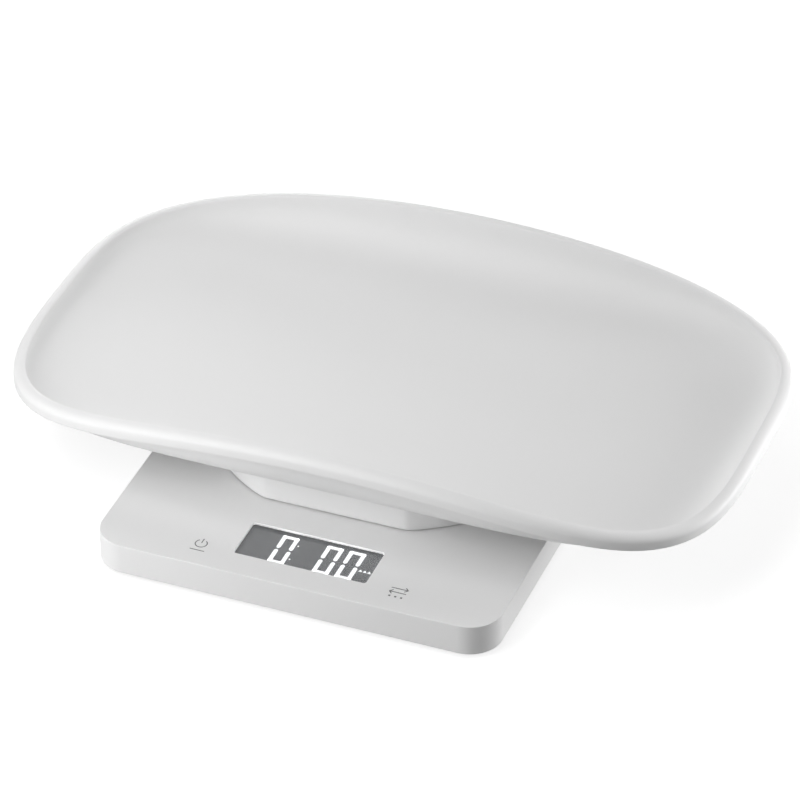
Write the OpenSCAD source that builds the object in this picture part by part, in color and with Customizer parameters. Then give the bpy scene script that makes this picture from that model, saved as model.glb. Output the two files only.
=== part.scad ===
// Digital baby weighing scale: a shallow moulded tray on a flat electronic base.
// +Z is up. The display end faces -Y. The origin is on the floor, under the middle of the whole scale.

/* [Base] */
// Width of the base, across the display end
base_w = 220; // [212:1:230]
// Depth of the base, front to back
base_d = 264; // [258:1:275]
// Height of the base's side wall
base_h = 17.3; // [17:0.1:20]
// Radius of the base's corners in plan
base_corner_r = 18; // [14:1:24]
// Wall thickness of the plastic mouldings
wall = 2.2; // [2:0.1:2.4]
// How far the rubber feet stand out below the base
foot_h = 2.2; // [2:0.1:3]

/* [Display] */
// Width of the display opening
window_w = 72.8; // [68:0.1:76]
// Depth of the display opening, front to back
window_d = 27.7; // [24:0.1:29]
// Distance from the base's front face to the display opening
window_from_front = 16.1; // [15:0.1:18]
// How far the display window lies below the base's top
window_recess = 1.4; // [1:0.1:1.6]
// Radius of the display opening's corners
window_corner_r = 1.5; // [1:0.1:3]
// Distance of each touch key from the centre line
key_x = 54.4; // [52:0.1:58]
// Distance of the touch keys from the base's front face
key_from_front = 15.5; // [14:0.1:17]

/* [Tray] */
// Half-length of the tray's crest line
tray_a = 194.5; // [190:0.5:200]
// Half-width of the tray's crest line, where it meets the ends
tray_b = 112.2; // [110:0.2:115]
// Extra half-width at the middle of the long sides, as a share
tray_bulge = 0.05; // [0:0.01:0.06]
// Distance from the base's front face to the tray's middle
tray_from_front = 162.4; // [160:0.2:166]
// Mean height of the crest line above the floor
crest_z = 60; // [58:0.5:64]
// How much the long sides stand above the ends, on each side of the mean
crest_saddle = 10.6; // [6:0.1:12]
// How far the corners dip
crest_dip = 16.7; // [10:0.1:18]
// Height of the bowl's floor above the table
floor_z = 28.6; // [28:0.1:30]
// How far the rim's lip turns outwards
lip_w = 5.8; // [5:0.1:7]
// Height of the lip's outer face
lip_h = 8.6; // [7:0.1:10]

/* [Platform] */
// Radius of the tray's foot ring
foot_ring_r = 99; // [96:0.5:100]
// Distance from the base's front face to the ring's centre
load_from_front = 155; // [153:0.5:157]
// Distance from the base's front face to the ring's flat front
flat_from_front = 64.2; // [62:0.2:66]
// How far the platform sinks under a full load
travel = 0.5; // [0.4:0.1:0.8]

/* [Battery] */
// Diameter of one cell
cell_d = 10.5; // [10.4:0.1:10.5]
// Length of one cell with its nub
cell_l = 44.5; // [44:0.1:45]
// How far the battery door slides before it lifts off
door_slide = 8.5; // [8:0.1:9]

/* [Hidden] */

$fn = 48;
little = 0.01;

// Heights of the base
base_bottom = foot_h;
base_top = foot_h + base_h;
ceiling = base_top - wall;
cover_t = 2;
cover_top = base_bottom + cover_t;
cover_gap = 0.2;

// The whole scale spans from the base's front face to the tray's back edge
tray_half_d = tray_b * (1 + tray_bulge) + lip_w;
front_y = -(tray_from_front + tray_half_d) / 2;
base_y = front_y + base_d / 2;
tray_y = front_y + tray_from_front;
load_y = front_y + load_from_front;
flat_y = front_y + flat_from_front;

// Colours
white = [0.93, 0.93, 0.93];
soft_white = [0.88, 0.88, 0.88];
steel = [0.62, 0.63, 0.65];
bright = [0.78, 0.78, 0.8];
rubber = [0.16, 0.16, 0.17];

// Screws of the housing
screw_x = base_w / 2 - 13;
screw_ys = [base_y - base_d / 2 + 13, base_y + 22, base_y + base_d / 2 - 13];
screw_boss_z = base_bottom + 4;
screw_head_z = base_bottom + 2.2;
screw_shank_r = 1.3;
pilot_gap = 0.02;

// Feet
foot_r = 9;
foot_x = base_w / 2 - 24;
foot_ys = [base_y - base_d / 2 + 25, base_y + base_d / 2 - 23];
foot_pocket = 0.5;

// Display stack, from the window down to the circuit board
window_y = front_y + window_from_front + window_d / 2;
lens_rim = 2.4;
lens_t = 1.2;
lens_top = base_top - window_recess;
lens_bottom = lens_top - lens_t;
panel_w = window_w + 7.2;
panel_d = window_d + 6.3;
panel_t = 2.5;
panel_top = lens_bottom - 0.2;
panel_bottom = panel_top - panel_t;
frame_t = 1.8;
frame_gap = 0.2;
board_w = 140;
board_d = 44;
board_t = 1.6;
board_y = front_y + 5 + board_d / 2;
board_top = base_bottom + 7.3;
board_bottom = board_top - board_t;
board_hole_x = board_w / 2 - 6;
board_hole_y = board_d / 2 - 4.5;
strip_w = 2.4;
key_y = front_y + key_from_front;

// Load cell stack, from the base plate up to the platform
beam_l = 80;
beam_s = 12.7;
lobe_r = 5.1;
plate_bottom = cover_top + 1.2;
plate_t = 1.5;
plate_w = 124;
plate_d = 50;
plate_top = plate_bottom + plate_t;
fixed_spacer_t = 1.3;
beam_bottom = plate_top + fixed_spacer_t;
beam_top = beam_bottom + beam_s;
load_spacer_t = 1.5;
spider_bottom = beam_top + load_spacer_t;
spider_t = 1.5;
spider_top = spider_bottom + spider_t;
platform_t = 2.2;
platform_top = spider_top + platform_t;
beam_hole_x = [20, 35];
beam_end_x = (beam_hole_x[0] + beam_hole_x[1]) / 2;
beam_pad_l = 27;
plate_hole_x = 54;
plate_hole_y = 19;
m4_r = 2;
m3_r = 1.45;
thread_gap = 0.05;
clearance = 0.2;
m4_head_r = 3.8;
m4_head_t = 2.4;
csk_head_r = 2.9;
csk_head_t = 1.6;
cross_w = 0.7;
spider_x = 60;
spider_y = 48;
spider_arm_w = 14;
spider_middle_w = 96;
spider_middle_d = 34;
spider_eye_r = 9;
ring_gap = 0.8;
ring_bottom = base_top + travel + 0.3;
platform_r = foot_ring_r - wall - ring_gap;
platform_flat = flat_y + wall + ring_gap;
gauge_x = 8;
gauge_l = 6;
gauge_w = 4;
gauge_t = 0.15;
patch_l = 26;
patch_w = 11;
side_patch = 1.2;

// Battery compartment
cells = 4;
cell_pitch = cell_d + 0.7;
box_w = cells * cell_pitch + 0.6;
box_d = cell_l + 8.5;
box_wall = 1.5;
box_y = front_y + 55 + box_d / 2;
cell_z = base_bottom + 7.7;
box_top = cell_z + cell_d / 2 + 0.3;
contact_t = 0.4;
door_w = box_w + 4;
door_d = box_d + 4;
door_t = 1.6;
door_gap = 0.25;
tongue_l = 8;
tongue_out = 0.8;
tongue_t = 0.7;
tongue_ys = [-16, 20];

// The tray's bowl: rings of points around it, and steps down its wall
ring_points = 96;
bowl_steps = 11;
end_power = 4.97;
side_power = 3.68;
wall_power = 3;
corner_softness = 0.7;
crest_rise = 3.4;
lip_shoulder = 4.1;
lip_t = 2;
crest_r = 1.2;

// ---------------------------------------------------------------- helpers

// Rounded rectangle in plan, centred, with true arcs for corners
module rounded_rect(w, d, r) {
    square([w - 2 * r, d], center = true);
    square([w, d - 2 * r], center = true);
    for (sx = [-1, 1], sy = [-1, 1])
        translate([sx * (w / 2 - r), sy * (d / 2 - r)]) circle(r = r);
}

// Straight-sided slab on a rounded rectangle, between two heights
module slab(w, d, r, z0, z1) {
    translate([0, 0, z0]) linear_extrude(z1 - z0) rounded_rect(w, d, r);
}

// Box centred in plan, between two heights
module block(w, d, z0, z1) {
    translate([-w / 2, -d / 2, z0]) cube([w, d, z1 - z0]);
}

// Round rod between two heights
module rod(r, z0, z1) {
    translate([0, 0, z0]) cylinder(r = r, h = z1 - z0);
}

// Path with its corners cut, which rounds it a little more with each pass
function rounded_path(path, passes = 2) = passes == 0 ? path
    : rounded_path([
        path[0],
        for (i = [0:len(path) - 2]) let (a = path[i], b = path[i + 1])
            each [if (i > 0) a + (b - a) / 4, if (i < len(path) - 2) b + (a - b) / 4],
        path[len(path) - 1],
    ], passes - 1);

// Round wire along a path, with one ring of points at each of the path's points
module wire(route, r) {
    sides = 8;
    path = rounded_path(route);
    last = len(path) - 1;
    points = [for (i = [0:last], j = [0:sides - 1])
        let (ahead = path[min(i + 1, last)] - path[max(i - 1, 0)], across = cross(ahead, [0, 0, 1]),
             side = across / norm(across), up = cross(side, ahead / norm(ahead)), q = 360 * j / sides)
        path[i] + r * (cos(q) * side + sin(q) * up)];
    polyhedron(points, tube_faces(last + 1, sides));
}

// Disc with a flat front edge, centred on the load cell
module flat_fronted_disc(r, front) {
    intersection() {
        circle(r = r, $fn = 128);
        translate([-r, front - load_y]) square([2 * r, 2 * r]);
    }
}

// Countersunk screw pointing down from its head's top face
module countersunk_screw(head_r, shank_r, head_t, length) {
    translate([0, 0, -head_t]) cylinder(r1 = shank_r, r2 = head_r, h = head_t, $fn = 32);
    translate([0, 0, -length]) cylinder(r = shank_r, h = length, $fn = 24);
}

// Cap-head screw pointing down from under its head, with a hexagon socket
module cap_screw(head_r, head_t, shank_r, length) {
    difference() {
        cylinder(r = head_r, h = head_t, $fn = 32);
        translate([0, 0, head_t / 2]) cylinder(r = head_r * 0.5, h = head_t, $fn = 6);
    }
    translate([0, 0, -length]) cylinder(r = shank_r, h = length + little, $fn = 24);
}

// Faces of a tube whose rings have k points each, closed at both ends
function tube_faces(rings, k) = concat(
    [for (i = [0:rings - 2], j = [0:k - 1], half = [0, 1])
        let (a = i * k + j, b = i * k + (j + 1) % k, c = a + k, d = b + k)
        half == 0 ? [a, b, d] : [a, d, c]],
    [[for (j = [0:k - 1]) k - 1 - j]],
    [[for (j = [0:k - 1]) (rings - 1) * k + j]]);

// Coil spring standing on z = 0, from radius r0 at its foot to r1 at its tip
module coil(r0, r1, wire_r, height, turns) {
    steps = 9;
    sides = 5;
    rings = turns * steps + 1;
    rise = height - 2 * wire_r;
    points = [for (i = [0:rings - 1], j = [0:sides - 1])
        let (s = i / (rings - 1), turn = 360 * i / steps, r = r0 + (r1 - r0) * s,
             q = 360 * j / sides, out = r + wire_r * cos(q))
        [out * cos(turn), out * sin(turn), wire_r + rise * s + wire_r * sin(q)]];
    polyhedron(points, tube_faces(rings, sides));
}

// ---------------------------------------------------------------- the tray's form

// Radius, in a square of half-width 1, of the rounded outline in one direction
function outline_r(c, s, r = 1, passes = 24) = passes == 0 ? r
    : outline_r(c, s, r * pow(pow(r * abs(c), end_power) + pow(r * abs(s), side_power), -0.2), passes - 1);

// Point of the unit outline at an angle
function unit_outline(angle) = let (r = outline_r(cos(angle), sin(angle)))
    [r * cos(angle), r * sin(angle)];

// Plan position of the crest line for a point of the unit outline
function crest_plan(q) = [tray_a * q.x, tray_b * q.y * (1 + tray_bulge * (1 - q.x * q.x))];

// Height of the crest line for a point of the unit outline
function crest_height(q) = let (u = q.x * q.x, w = q.y * q.y)
    crest_z + crest_saddle * (w - u) - crest_dip * u * w + crest_rise * u * u;

outline = [for (j = [0:ring_points - 1]) unit_outline(360 * j / ring_points)];
ahead = [for (j = [0:ring_points - 1]) crest_plan(unit_outline(360 * j / ring_points + 0.4))];
behind = [for (j = [0:ring_points - 1]) crest_plan(unit_outline(360 * j / ring_points - 0.4))];
outwards = [for (j = [0:ring_points - 1]) let (t = ahead[j] - behind[j]) [t.y, -t.x] / norm(t)];

// Ring of points at an offset outside the crest line and a drop below it
function rim_ring(offset, drop) = [for (j = [0:ring_points - 1])
    let (p = crest_plan(outline[j]) + offset * outwards[j])
    [p.x, p.y, crest_height(outline[j]) - drop]];

// Squareness of the wall's section for a point of the unit outline: the corners are rounder
function section_power(q) = wall_power - corner_softness * q.x * q.x * q.y * q.y;

// Ring of the bowl's wall: 0 is the bowl's middle and 90 its rim
function bowl_ring(step, offset, drop, lowest) = [for (j = [0:ring_points - 1])
    let (p = crest_plan(outline[j]) + offset * outwards[j],
         top = crest_height(outline[j]) - drop,
         share = pow(sin(step), 2 / section_power(outline[j])),
         depth = pow(cos(step), 2 / section_power(outline[j])))
    [p.x * share, p.y * share, top - (top - lowest) * depth]];

// Faces of a closed form made of rings between two poles
function shell_faces(rings) = let (k = ring_points, n = rings * k) concat(
    [for (j = [0:k - 1]) [n, (j + 1) % k, j]],
    [for (i = [0:rings - 2], j = [0:k - 1], half = [0, 1])
        let (a = i * k + j, b = i * k + (j + 1) % k, c = a + k, d = b + k)
        half == 0 ? [a, b, d] : [a, d, c]],
    [for (j = [0:k - 1]) [(rings - 1) * k + j, (rings - 1) * k + (j + 1) % k, n + 1]]);

module ringed_form(rings, first_pole, last_pole) {
    polyhedron(concat([for (ring = rings) each ring], [first_pole, last_pole]), shell_faces(len(rings)));
}

steps = [for (i = [1:bowl_steps]) 90 * i / bowl_steps];
inner_rings = [for (s = steps) bowl_ring(s, -crest_r, crest_r, floor_z)];
outer_rings = [for (s = steps) bowl_ring(s, crest_r, lip_shoulder, floor_z - wall)];

// Bowl and rolled rim as one shell
module bowl_shell() {
    shoulder = [for (a = [18:24:90]) rim_ring(lip_w * sin(a), lip_shoulder * (1 - cos(a)))];
    rim = concat(
        [rim_ring(0, 0)], shoulder, [rim_ring(lip_w, lip_h)], [rim_ring(lip_w - lip_t, lip_h)],
        [rim_ring(lip_w - lip_t, lip_shoulder)]);
    backwards = [for (i = [0:bowl_steps - 1]) outer_rings[bowl_steps - 1 - i]];
    ringed_form(concat(inner_rings, rim, backwards), [0, 0, floor_z], [0, 0, floor_z - wall]);
}

// Everything inside the bowl and above it, which the foot ring must not enter
module bowl_cavity() {
    lid = crest_z + 30;
    up = [for (p = inner_rings[bowl_steps - 1]) [p.x, p.y, lid]];
    sunk = [for (ring = inner_rings) [for (p = ring) [p.x, p.y, p.z - wall / 2]]];
    backwards = [for (i = [0:bowl_steps - 1]) sunk[bowl_steps - 1 - i]];
    ringed_form(concat([up], backwards), [0, 0, lid], [0, 0, floor_z - wall / 2]);
}

// Foot ring with a flat front, and the ribs that sit on the platform's edge
module foot_ring() {
    ribs_from = flat_y + wall / 2;
    rib_l = 16;
    rib_t = 1.6;
    difference() {
        translate([0, load_y, ring_bottom]) linear_extrude(crest_z - ring_bottom) difference() {
            flat_fronted_disc(foot_ring_r, flat_y);
            flat_fronted_disc(foot_ring_r - wall, flat_y + wall);
        }
        translate([0, tray_y, 0]) bowl_cavity();
    }
    difference() {
        for (a = [20:40:340])
            translate([0, load_y, platform_top]) rotate(a - 90)
                translate([foot_ring_r - wall - rib_l, -rib_t / 2, 0]) cube([rib_l + 1, rib_t, 20]);
        translate([0, tray_y, 0]) bowl_cavity();
        translate([-foot_ring_r, ribs_from - rib_l, 0]) cube([2 * foot_ring_r, rib_l, crest_z]);
    }
}

module tray() color(white) {
    translate([0, tray_y, 0]) bowl_shell();
    foot_ring();
}

// ---------------------------------------------------------------- housing

module top_cover() color(white) {
    difference() {
        translate([0, base_y, 0]) slab(base_w, base_d, base_corner_r, base_bottom, base_top);
        translate([0, base_y, 0])
            slab(base_w - 2 * wall, base_d - 2 * wall, base_corner_r - wall, base_bottom - 1, ceiling);
        translate([0, window_y, 0]) slab(window_w, window_d, window_corner_r, ceiling - 1, base_top + 1);
        translate([0, window_y, 0])
            block(window_w + 2 * lens_rim + 0.4, window_d + 2 * lens_rim + 0.4, ceiling - 1, lens_top);
        translate([0, load_y, 0]) block(beam_l + 4, beam_s + 4, ceiling - 1, base_top + 1);
    }
    for (sx = [-1, 1], y = screw_ys) translate([sx * screw_x, y, 0]) difference() {
        rod(3.2, screw_boss_z, ceiling + little);
        rod(screw_shank_r + pilot_gap, screw_boss_z - 1, ceiling - 2);
    }
    for (sx = [-1, 1], sy = [-1, 1])
        translate([sx * board_hole_x, board_y + sy * board_hole_y, 0]) difference() {
            rod(2.6, board_top, ceiling + little);
            rod(0.9, board_top - 1, ceiling - 1.5);
        }
}

// The plate's stiffening ribs
module cover_ribs() {
    rib = 1.2;
    for (x = [-80, -42, 42, 80]) translate([x - rib / 2, base_y - 96, cover_top - little])
        cube([rib, 208, 1]);
    for (y = [-44, 10, 66]) for (side = [-1, 1])
        translate([side < 0 ? -100 : 34, base_y + y, cover_top - little]) cube([66, rib, 1]);
}

module bottom_cover() color(soft_white) {
    pad_front = box_y - door_d / 2 - door_slide - 3;
    pad_back = box_y + door_d / 2 + 2.5;
    pad_top = base_bottom + 3.4;
    recess_top = base_bottom + door_t + 0.15;
    recess_front = box_y - door_d / 2 - door_gap - door_slide;
    recess_back = box_y + door_d / 2 + door_gap;
    groove_w = door_w + 2 * (door_gap + tongue_out);
    difference() {
        union() {
            translate([0, base_y, 0])
                slab(base_w - 2 * wall - 2 * cover_gap, base_d - 2 * wall - 2 * cover_gap,
                     base_corner_r - wall - cover_gap, base_bottom, cover_top);
            cover_ribs();
            for (sx = [-1, 1], y = screw_ys) translate([sx * screw_x, y, 0])
                rod(4.6, base_bottom, screw_boss_z);
            for (sx = [-1, 1], sy = [-1, 1]) translate([sx * plate_hole_x, load_y + sy * plate_hole_y, 0])
                rod(5, base_bottom, plate_bottom);
            translate([-beam_end_x, load_y, 0]) block(34, 20, base_bottom, plate_bottom);
            translate([-door_w / 2 - 3, pad_front, base_bottom])
                cube([door_w + 6, pad_back - pad_front, pad_top - base_bottom]);
            translate([0, box_y, 0])
                block(box_w + 2 * box_wall, box_d + 2 * box_wall, base_bottom, box_top + 1.4);
        }
        // Cells' compartment, the door's recess and the sliding grooves of its tongues
        translate([0, box_y, 0]) block(box_w, box_d, base_bottom - 1, box_top);
        translate([-door_w / 2 - door_gap, recess_front, base_bottom - 1])
            cube([door_w + 2 * door_gap, recess_back - recess_front, recess_top - base_bottom + 1]);
        for (y = tongue_ys) {
            translate([-groove_w / 2, box_y + y - door_slide - 0.3, base_bottom + 0.5])
                cube([groove_w, tongue_l + door_slide + 0.6, tongue_t + 0.3]);
            translate([-groove_w / 2, box_y + y - door_slide - 0.3, base_bottom - 1])
                cube([groove_w, tongue_l + 0.4, 2]);
        }
        // Pockets for the feet
        for (sx = [-1, 1], y = foot_ys) translate([sx * foot_x, y, 0])
            rod(foot_r + 0.1, base_bottom - 1, base_bottom + foot_pocket);
        // Housing screws' holes
        for (sx = [-1, 1], y = screw_ys) translate([sx * screw_x, y, 0]) {
            rod(3.1, base_bottom - 1, screw_head_z);
            rod(1.6, base_bottom - 1, screw_boss_z + 1);
        }
        // Base plate screws' countersinks and the load cell screws' clearance
        for (sx = [-1, 1], sy = [-1, 1]) translate([sx * plate_hole_x, load_y + sy * plate_hole_y, 0]) {
            rod(1.7, base_bottom - 1, plate_bottom + 1);
            translate([0, 0, base_bottom - little]) cylinder(r1 = 3.2, r2 = 1.7, h = 1.9, $fn = 32);
        }
        for (x = beam_hole_x) translate([-x, load_y, 0])
            rod(m4_head_r + 0.6, base_bottom - 1, plate_bottom + 1);
    }
}

module foot(sx, y) color(rubber) translate([sx * foot_x, y, 0]) {
    cylinder(r1 = foot_r - 0.6, r2 = foot_r, h = 0.6);
    rod(foot_r, 0.6 - little, base_bottom + foot_pocket);
}

module housing_screws() color(bright)
    for (sx = [-1, 1], y = screw_ys) translate([sx * screw_x, y, 0]) difference() {
        union() {
            rod(2.7, screw_head_z - 1.8, screw_head_z);
            rod(screw_shank_r, screw_head_z - little, ceiling - 3.5);
        }
        for (turn = [0, 90]) rotate(turn) block(2.8, cross_w, screw_head_z - 2, screw_head_z - 0.9);
    }

// ---------------------------------------------------------------- display and electronics

module display_window() color([0.75, 0.78, 0.8, 0.4]) translate([0, window_y, 0])
    block(window_w + 2 * lens_rim, window_d + 2 * lens_rim, lens_bottom, lens_top);

module lcd_panel() color([0.36, 0.37, 0.38]) translate([0, window_y, 0]) {
    sheet = panel_t / 2;
    block(panel_w, panel_d, panel_bottom + sheet, panel_top);
    block(panel_w - 1.5, panel_d, panel_bottom, panel_bottom + sheet + little);
}

module lcd_backlight() color([0.95, 0.96, 0.98]) translate([0, window_y, 0]) difference() {
    block(panel_w - 2, panel_d - 8, board_top + 0.2, panel_bottom - 0.1);
    for (side = [-1, 1]) translate([side * (panel_w / 2 - 1), 0, 0])
        block(1.2, panel_d - 14, board_top + 1.2, panel_bottom - 1.1);
}

module lcd_frame() color(white) translate([0, window_y, 0]) difference() {
    inside = [panel_w + 2 * frame_gap, panel_d + 2 * frame_gap];
    block(inside.x + 2 * frame_t, inside.y + 2 * frame_t, board_top, panel_top);
    block(inside.x, inside.y, board_top - 1, panel_top + 1);
}

module contact_strips() color([0.75, 0.45, 0.5])
    for (side = [-1, 1]) translate([0, window_y + side * (panel_d / 2 - strip_w / 2 - 0.4), 0])
        block(panel_w - 6, strip_w, board_top, panel_bottom);

module circuit_board() color([0.1, 0.36, 0.2]) translate([0, board_y, 0]) difference() {
    slab(board_w, board_d, 2, board_bottom, board_top);
    for (sx = [-1, 1], sy = [-1, 1]) translate([sx * board_hole_x, sy * board_hole_y, 0])
        rod(1.2, board_bottom - 1, board_top + 1);
}

module board_screws() color(bright)
    for (sx = [-1, 1], sy = [-1, 1])
        translate([sx * board_hole_x, board_y + sy * board_hole_y, 0]) difference() {
            union() {
                rod(2.1, board_bottom - 1.3, board_bottom);
                rod(0.88, board_bottom - little, board_top + 5);
            }
            for (turn = [0, 90]) rotate(turn) block(2.2, 0.5, board_bottom - 1.4, board_bottom - 0.7);
        }

module controller_chip() color([0.06, 0.06, 0.07]) translate([-18, board_y, board_bottom])
    rotate_extrude($fn = 40) intersection() {
        translate([0, 12.2]) circle(r = 13.5, $fn = 96);
        translate([0, -1.3]) square([6.5, 1.3]);
    }

module board_components() color([0.55, 0.42, 0.28]) translate([0, board_y, 0]) {
    for (i = [0:4]) translate([6 + i * 5, 6, 0]) block(2, 1.2, board_bottom - 0.6, board_bottom);
    for (i = [0:3]) translate([-44 + i * 5, -8, 0]) block(1.2, 2, board_bottom - 0.5, board_bottom);
    translate([16, -8, 0]) block(8, 3.2, board_bottom - 1.5, board_bottom);
    translate([40, -4, 0]) rod(2.5, board_bottom - 1.7, board_bottom);
}

// Centres of the two plugs under the board, for the load cell and for the cells
load_plug_x = -40;
power_plug_x = 40;
plug_y = board_y + board_d / 2 - 3;
plug_z = board_bottom - 0.95;

module wire_plugs() color([0.95, 0.93, 0.88]) {
    translate([load_plug_x, plug_y, 0]) block(8, 5, board_bottom - 1.9, board_bottom);
    translate([power_plug_x, plug_y, 0]) block(5.5, 5, board_bottom - 1.9, board_bottom);
}

module touch_spring(side) color(bright)
    translate([side * key_x, key_y, board_top]) coil(3.9, 3.9, 0.3, ceiling - board_top, 5);

// ---------------------------------------------------------------- load cell

module base_plate() color(steel) translate([0, load_y, 0]) difference() {
    slab(plate_w, plate_d, 4, plate_bottom, plate_top);
    for (x = beam_hole_x) translate([-x, 0, 0]) rod(m4_r + clearance, plate_bottom - 1, plate_top + 1);
    for (sx = [-1, 1], sy = [-1, 1]) translate([sx * plate_hole_x, sy * plate_hole_y, 0])
        rod(m3_r + thread_gap, plate_bottom - 1, plate_top + 1);
    translate([beam_end_x, 0, 0]) rod(m4_r + thread_gap, plate_bottom - 1, plate_top + 1);
}

module base_plate_screws() color(bright)
    for (sx = [-1, 1], sy = [-1, 1])
        translate([sx * plate_hole_x, load_y + sy * plate_hole_y, base_bottom + 0.2])
            mirror([0, 0, 1])
                countersunk_screw(csk_head_r, m3_r, csk_head_t, plate_top - base_bottom + 0.8);

module fixed_end_spacer() color(steel) translate([0, load_y, 0]) difference() {
    translate([-beam_end_x, 0, 0]) block(beam_pad_l, beam_s, plate_top, beam_bottom);
    for (x = beam_hole_x) translate([-x, 0, 0]) rod(m4_r + clearance, plate_top - 1, beam_bottom + 1);
}

module fixed_end_screws() color(steel)
    for (x = beam_hole_x) translate([-x, load_y, plate_bottom]) mirror([0, 0, 1])
        cap_screw(m4_head_r, m4_head_t, m4_r, beam_bottom + 9 - plate_bottom);

module load_cell() color([0.83, 0.84, 0.86]) translate([0, load_y, 0]) difference() {
    block(beam_l, beam_s, beam_bottom, beam_top);
    for (x = [-gauge_x, gauge_x]) translate([x, -beam_s, (beam_bottom + beam_top) / 2])
        rotate([-90, 0, 0]) cylinder(r = lobe_r, h = 2 * beam_s);
    block(2 * gauge_x, 2 * beam_s, beam_bottom + lobe_r, beam_top - lobe_r);
    for (side = [-1, 1], x = beam_hole_x) translate([side * x, 0, 0])
        rod(m4_r + thread_gap, beam_bottom - 1, beam_top + 1);
}

module strain_gauges() color([0.8, 0.55, 0.25]) translate([0, load_y, 0])
    for (x = [-gauge_x, gauge_x]) translate([x, 0, 0]) {
        block(gauge_l, gauge_w, beam_top, beam_top + gauge_t);
        block(gauge_l, gauge_w, beam_bottom - gauge_t, beam_bottom);
    }

module gauge_sealant() color([0.9, 0.9, 0.88]) difference() {
    translate([0, load_y, 0]) {
        slab(patch_l, patch_w, 3, beam_top, beam_top + 0.5);
        slab(patch_l, patch_w, 3, beam_bottom - 0.8, beam_bottom);
        translate([0, -(beam_s + side_patch) / 2, 0]) block(18, side_patch, beam_bottom + 3, beam_top - 4);
    }
    strain_gauges();
}

module overload_stop() color(bright) translate([beam_end_x, load_y, 0]) difference() {
    rod(m4_r, plate_bottom, beam_bottom - travel);
    translate([0, 0, beam_bottom - travel - 1]) cylinder(r = 1.1, h = 2, $fn = 6);
}

module load_cell_wires() {
    hues = ["firebrick", "black", "white", "seagreen"];
    for (i = [0:3]) color(hues[i]) {
        x = 1.6 * (i - 1.5);
        wire([[-6 + x, load_y - beam_s / 2 - side_patch, beam_bottom + 5],
              [-6 + x, load_y - 16, beam_bottom + 5],
              [-33 + x, load_y - 44, plug_z + 1.5],
              [load_plug_x + x, load_y - 76, plug_z],
              [load_plug_x + x, plug_y + 2.5, plug_z]], 0.5);
    }
}

module load_end_spacer() color(steel) translate([0, load_y, 0]) difference() {
    translate([beam_end_x, 0, 0]) block(beam_pad_l, beam_s, beam_top, spider_bottom);
    for (x = beam_hole_x) translate([x, 0, 0]) rod(m4_r + clearance, beam_top - 1, spider_bottom + 1);
}

module load_end_screws() color(steel)
    for (x = beam_hole_x) translate([x, load_y, spider_top])
        cap_screw(m4_head_r, platform_t - 0.1, m4_r, spider_top - beam_bottom - 2);

// The spider's plan without its holes: a middle plate, two crossed arms and an eye at each end
module spider_plan() {
    square([spider_middle_w, spider_middle_d], center = true);
    for (side = [-1, 1]) rotate(side * atan2(spider_y, spider_x))
        square([2 * norm([spider_x, spider_y]), spider_arm_w], center = true);
    for (sx = [-1, 1], sy = [-1, 1])
        translate([sx * spider_x, sy * spider_y]) circle(r = spider_eye_r);
}

module load_spider() color(steel)
    translate([0, load_y, spider_bottom]) linear_extrude(spider_t) difference() {
        spider_plan();
        for (x = beam_hole_x) translate([x, 0]) circle(r = m4_r + clearance);
        for (sx = [-1, 1], sy = [-1, 1])
            translate([sx * spider_x, sy * spider_y]) circle(r = m3_r + thread_gap);
    }

module platform() color(white) translate([0, load_y, 0]) difference() {
    hole_r = m3_r + 0.15;
    sink = 1.8;
    translate([0, 0, ring_bottom]) linear_extrude(platform_top - ring_bottom)
        flat_fronted_disc(platform_r, platform_flat);
    translate([0, 0, ring_bottom - 1]) linear_extrude(spider_top - ring_bottom + 1)
        flat_fronted_disc(platform_r - wall, platform_flat + wall);
    for (x = beam_hole_x) translate([x, 0, 0]) rod(m4_head_r + 0.4, spider_top - 1, platform_top + 1);
    for (sx = [-1, 1], sy = [-1, 1]) translate([sx * spider_x, sy * spider_y, 0]) {
        rod(hole_r, spider_top - 1, platform_top + 1);
        translate([0, 0, platform_top - sink])
            cylinder(r1 = hole_r, r2 = csk_head_r + clearance, h = sink + little, $fn = 32);
    }
}

module platform_screws() color(bright)
    for (sx = [-1, 1], sy = [-1, 1])
        translate([sx * spider_x, load_y + sy * spider_y, platform_top - 0.15]) difference() {
            countersunk_screw(csk_head_r, m3_r, csk_head_t, platform_top - spider_bottom + 0.6);
            for (turn = [0, 90]) rotate(turn) block(3, cross_w, -0.9, 1);
        }

// ---------------------------------------------------------------- battery compartment

// The cells lie side by side along Y and point forwards and backwards in turn
function cell_x(i) = (i - (cells - 1) / 2) * cell_pitch;
function cell_way(i) = i % 2 == 0 ? 1 : -1;
spring_l = box_d - cell_l - 2 * contact_t;

// Places its children in a cell's bay, with +Z towards the cell's nub
module in_bay(i) {
    translate([cell_x(i), box_y, cell_z]) rotate([cell_way(i) * 90, 0, 0]) children();
}

module battery(i) in_bay(i) translate([0, 0, box_d / 2 - contact_t - cell_l]) {
    nub = 1;
    color([0.2, 0.24, 0.3]) cylinder(r = cell_d / 2, h = cell_l - nub);
    color(bright) translate([0, 0, cell_l - nub - little])
        cylinder(r = 1.9, h = nub + little, $fn = 24);
}

module battery_springs() color(bright) for (i = [0:cells - 1])
    in_bay(i) translate([0, 0, contact_t - box_d / 2]) coil(3.6, 2.4, 0.35, spring_l, 5);

module battery_contacts() color(bright) for (i = [0:cells - 1], side = [-1, 1])
    translate([cell_x(i), box_y + side * (box_d - contact_t) / 2, 0])
        block(9, contact_t, cell_z - 4.6, cell_z + 4.6);

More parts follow.
